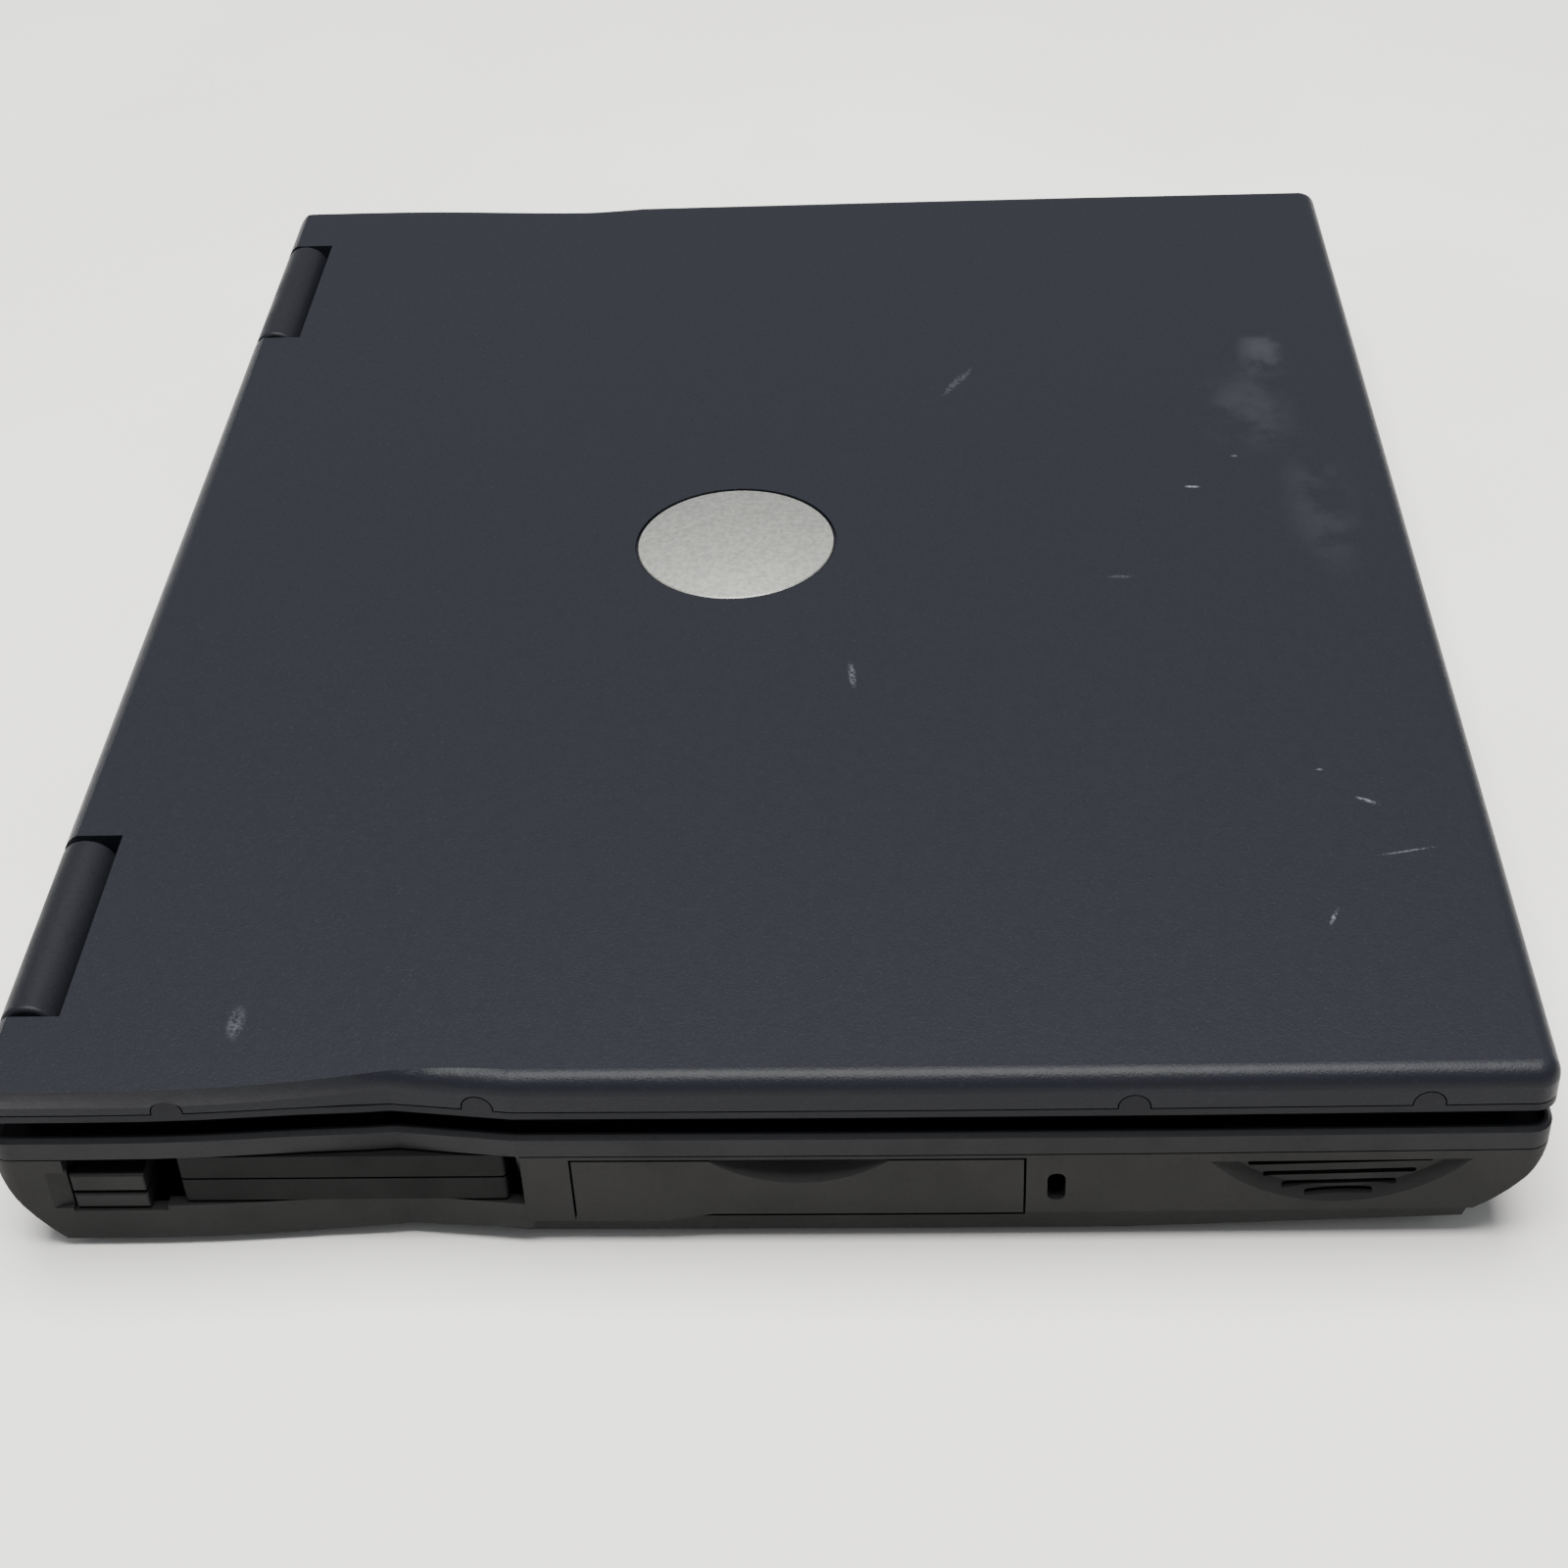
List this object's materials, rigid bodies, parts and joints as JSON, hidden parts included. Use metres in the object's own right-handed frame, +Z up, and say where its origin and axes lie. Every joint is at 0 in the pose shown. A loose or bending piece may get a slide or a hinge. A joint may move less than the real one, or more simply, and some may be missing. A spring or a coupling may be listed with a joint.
{
  "type": "laptop computer",
  "caption": "Thick closed clamshell laptop with a charcoal plastic case, a rolled lid edge, a plain round badge, side card slots, a pull-out drive and a hinged lid over its keyboard.",
  "frame": {"origin": "on the table, under the middle of the closed machine", "axes": "+X across the width to the user's right, -Y towards the user, +Y towards the hinges, +Z up; the lid is closed at rest"},
  "size_m": [0.3186, 0.258, 0.0387],
  "materials": {
    "charcoal_lid": "fine-grained matt charcoal",
    "charcoal_case": "fine-grained matt charcoal",
    "black_plastic": "matt black",
    "key_plastic": "matt black key caps",
    "grey_plastic": "satin grey",
    "black_rubber": "matt rubber",
    "blue_rubber": "matt rubber",
    "badge_metal": "satin silver",
    "sheet_steel": "plated sheet",
    "alloy": "bare cast metal",
    "circuit_green": "solder mask",
    "chip_black": "moulded chip cases",
    "screen_glass": "unlit screen",
    "light_green": "clear lens",
    "port_blue": "connector body"
  },
  "bodies": {
    "base": {"bottom_case": "charcoal_case", "top_case": "charcoal_case", "control_strip": "charcoal_case", "status_lights": "light_green", "touchpad": "grey_plastic", "keyboard_plate": "sheet_steel", "pointing_stick": "blue_rubber", "memory_door": "charcoal_case", "rubber_feet": "black_rubber", "case_screws": "sheet_steel", "motherboard": "circuit_green", "board_chips": "chip_black", "heatsink": "alloy", "fan_housing": "black_plastic", "memory_modules": "circuit_green", "speakers": "black_plastic", "network_jacks": "black_plastic", "usb_ports": "sheet_steel", "round_ports": "black_plastic", "power_inlet": "black_plastic", "audio_jacks": "black_plastic", "parallel_port": "sheet_steel", "serial_port": "sheet_steel", "video_port": "port_blue", "pc_card_cage": "sheet_steel", "hinge_barrels": "charcoal_lid"},
    "lid": {"lid_cover": "charcoal_lid", "display_bezel": "charcoal_lid", "lcd_panel": "screen_glass", "inverter_board": "circuit_green", "hinge_arms": "sheet_steel", "badge": "badge_metal", "lid_bumpers": "black_rubber"},
    "latch": {"lid_latch": "charcoal_case"},
    "rotor": {"fan_rotor": "black_plastic"},
    "drive": {"hard_drive": "alloy", "hard_drive_carrier": "charcoal_case"},
    "battery": {"battery_pack": "charcoal_case"},
    "battery_catch": {"battery_latch": "black_plastic"},
    "optical_module": {"optical_drive": "sheet_steel"},
    "tray": {"optical_tray": "black_plastic"},
    "tray_button": {"optical_eject": "black_plastic"},
    "upper_blank": {"card_blank_upper": "charcoal_case"},
    "lower_blank": {"card_blank_lower": "charcoal_case"},
    "upper_eject": {"eject_button_upper": "black_plastic"},
    "lower_eject": {"eject_button_lower": "black_plastic"},
    "power": {"power_button": "black_plastic"},
    "function_keys_body": {"function_keys": "key_plastic"},
    "number_row_keys_body": {"number_row_keys": "key_plastic"},
    "upper_row_keys_body": {"upper_row_keys": "key_plastic"},
    "home_row_keys_body": {"home_row_keys": "key_plastic"},
    "shift_row_keys_body": {"shift_row_keys": "key_plastic"},
    "modifier_keys_body": {"modifier_keys": "key_plastic"},
    "space_bar_body": {"space_bar": "key_plastic"},
    "pad_button_left_body": {"pad_button_left": "black_plastic"},
    "pad_button_right_body": {"pad_button_right": "black_plastic"},
    "stick_button_left_body": {"stick_button_left": "black_plastic"},
    "stick_button_right_body": {"stick_button_right": "black_plastic"}
  },
  "joints": [
    {"name": "lid_hinge", "type": "hinge", "parent": "base", "child": "lid", "pos_m": [0, 0.1238, 0.0328], "axis": [-1, 0, 0], "range_deg": [0, 180]},
    {"name": "latch_slide", "type": "slide", "parent": "lid", "child": "latch", "axis": [1, 0, 0], "range_m": [0, 0.0035], "stiffness_N_per_m": 300, "springref_m": -0.001},
    {"name": "fan_spin", "type": "hinge", "parent": "base", "child": "rotor", "pos_m": [0.129, 0.083, 0.0154], "axis": [0, 0, 1], "continuous": true},
    {"name": "drive_slide", "type": "slide", "parent": "base", "child": "drive", "axis": [-1, 0, 0], "range_m": [0, 0.11]},
    {"name": "battery_slide", "type": "slide", "parent": "base", "child": "battery", "axis": [0, -1, 0], "range_m": [0, 0.085]},
    {"name": "battery_catch_slide", "type": "slide", "parent": "base", "child": "battery_catch", "axis": [0, 1, 0], "range_m": [0, 0.004], "stiffness_N_per_m": 300, "springref_m": -0.001},
    {"name": "optical_slide", "type": "slide", "parent": "base", "child": "optical_module", "axis": [0, -1, 0], "range_m": [0, 0.125]},
    {"name": "tray_slide", "type": "slide", "parent": "optical_module", "child": "tray", "axis": [0, -1, 0], "range_m": [0, 0.1]},
    {"name": "tray_button_press", "type": "slide", "parent": "tray", "child": "tray_button", "axis": [0, 1, 0], "range_m": [0, 0.0008], "stiffness_N_per_m": 400, "springref_m": -0.001},
    {"name": "upper_blank_slide", "type": "slide", "parent": "base", "child": "upper_blank", "axis": [-1, 0, 0], "range_m": [0, 0.09]},
    {"name": "lower_blank_slide", "type": "slide", "parent": "base", "child": "lower_blank", "axis": [-1, 0, 0], "range_m": [0, 0.09]},
    {"name": "upper_eject_press", "type": "slide", "parent": "base", "child": "upper_eject", "axis": [1, 0, 0], "range_m": [0, 0.005], "stiffness_N_per_m": 300, "springref_m": -0.001},
    {"name": "lower_eject_press", "type": "slide", "parent": "base", "child": "lower_eject", "axis": [1, 0, 0], "range_m": [0, 0.005], "stiffness_N_per_m": 300, "springref_m": -0.001},
    {"name": "power_press", "type": "slide", "parent": "base", "child": "power", "axis": [0, 0, -1], "range_m": [0, 0.001], "stiffness_N_per_m": 800, "springref_m": -0.001},
    {"name": "function_keys_press", "type": "slide", "parent": "base", "child": "function_keys_body", "axis": [0, 0, -1], "range_m": [0, 0.002], "stiffness_N_per_m": 600, "springref_m": -0.0012},
    {"name": "number_row_keys_press", "type": "slide", "parent": "base", "child": "number_row_keys_body", "axis": [0, 0, -1], "range_m": [0, 0.002], "stiffness_N_per_m": 600, "springref_m": -0.0012},
    {"name": "upper_row_keys_press", "type": "slide", "parent": "base", "child": "upper_row_keys_body", "axis": [0, 0, -1], "range_m": [0, 0.002], "stiffness_N_per_m": 600, "springref_m": -0.0012},
    {"name": "home_row_keys_press", "type": "slide", "parent": "base", "child": "home_row_keys_body", "axis": [0, 0, -1], "range_m": [0, 0.002], "stiffness_N_per_m": 600, "springref_m": -0.0012},
    {"name": "shift_row_keys_press", "type": "slide", "parent": "base", "child": "shift_row_keys_body", "axis": [0, 0, -1], "range_m": [0, 0.002], "stiffness_N_per_m": 600, "springref_m": -0.0012},
    {"name": "modifier_keys_press", "type": "slide", "parent": "base", "child": "modifier_keys_body", "axis": [0, 0, -1], "range_m": [0, 0.002], "stiffness_N_per_m": 600, "springref_m": -0.0012},
    {"name": "space_bar_press", "type": "slide", "parent": "base", "child": "space_bar_body", "axis": [0, 0, -1], "range_m": [0, 0.002], "stiffness_N_per_m": 600, "springref_m": -0.0012},
    {"name": "pad_button_left_press", "type": "slide", "parent": "base", "child": "pad_button_left_body", "axis": [0, 0, -1], "range_m": [0, 0.0012], "stiffness_N_per_m": 600, "springref_m": -0.0012},
    {"name": "pad_button_right_press", "type": "slide", "parent": "base", "child": "pad_button_right_body", "axis": [0, 0, -1], "range_m": [0, 0.0012], "stiffness_N_per_m": 600, "springref_m": -0.0012},
    {"name": "stick_button_left_press", "type": "slide", "parent": "base", "child": "stick_button_left_body", "axis": [0, 0, -1], "range_m": [0, 0.0012], "stiffness_N_per_m": 600, "springref_m": -0.0012},
    {"name": "stick_button_right_press", "type": "slide", "parent": "base", "child": "stick_button_right_body", "axis": [0, 0, -1], "range_m": [0, 0.0012], "stiffness_N_per_m": 600, "springref_m": -0.0012}
  ]
}
